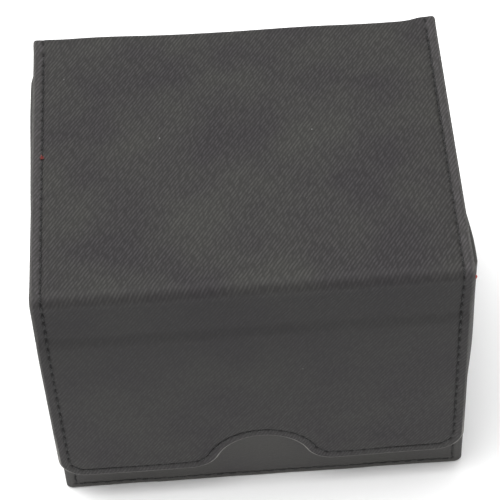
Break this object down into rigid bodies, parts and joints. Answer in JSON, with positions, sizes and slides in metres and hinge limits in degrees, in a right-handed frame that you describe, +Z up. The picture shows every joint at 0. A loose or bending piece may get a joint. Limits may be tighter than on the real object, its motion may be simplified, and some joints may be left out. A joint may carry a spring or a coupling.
{
  "type": "card deck box",
  "caption": "Side-loading card deck box in leathercloth over board, with a lid, a soft hinge band and a magnetic front flap with a thumb notch.",
  "frame": {"origin": "middle of the closed box's underside, on the surface it stands on", "axes": "+X to the right along the long side, +Y from the flap to the back, +Z up"},
  "size_m": [0.107, 0.09, 0.086],
  "materials": {
    "twill_leather": "matt charcoal leathercloth embossed with a fine diagonal twill",
    "smooth_leather": "matt charcoal leathercloth with a fine pebble grain",
    "red_lining": "short-pile red microfibre",
    "greyboard": "uncoated pressed greyboard",
    "black_thread": "twisted black polyester thread",
    "magnet_steel": "nickel-plated disc magnet"
  },
  "bodies": {
    "box": {"bottom_board": "greyboard", "front_board": "greyboard", "back_board": "greyboard", "left_board": "greyboard", "right_board": "greyboard", "body_skin": "smooth_leather", "bottom_skin": "smooth_leather", "back_cover_skin": "twill_leather", "bottom_lining": "red_lining", "front_lining": "red_lining", "back_lining": "red_lining", "left_lining": "red_lining", "right_lining": "red_lining", "front_magnet_left": "magnet_steel", "front_magnet_right": "magnet_steel", "front_seam_thread": "black_thread", "back_seam_thread": "black_thread"},
    "lid": {"lid_cover_skin": "twill_leather", "lid_board": "greyboard", "lid_lining": "red_lining", "lid_seam_thread_left": "black_thread", "lid_seam_thread_right": "black_thread", "back_fold_leather": "twill_leather", "back_fold_lining": "red_lining"},
    "band": {"band_leather": "twill_leather", "band_lining": "red_lining", "band_seam_thread_left": "black_thread", "band_seam_thread_right": "black_thread", "front_fold_leather": "twill_leather", "front_fold_lining": "red_lining"},
    "flap": {"flap_cover_skin": "twill_leather", "flap_board": "greyboard", "flap_lining": "red_lining", "flap_magnet_left": "magnet_steel", "flap_magnet_right": "magnet_steel", "flap_seam_thread": "black_thread"}
  },
  "joints": [
    {"name": "lid_hinge", "type": "hinge", "parent": "box", "child": "lid", "pos_m": [0, 0.04395, 0.08495], "axis": [-1, 0, 0], "range_deg": [0, 175], "deforming": ["back_fold_leather", "back_fold_lining"]},
    {"name": "band_hinge", "type": "hinge", "parent": "lid", "child": "band", "pos_m": [0, -0.0438, 0.0848], "axis": [-1, 0, 0], "range_deg": [0, 175], "deforming": ["front_fold_leather", "front_fold_lining"]},
    {"name": "flap_hinge", "type": "hinge", "parent": "band", "child": "flap", "pos_m": [0, -0.0446, 0.07085], "axis": [-1, 0, 0], "range_deg": [0, 90]}
  ]
}
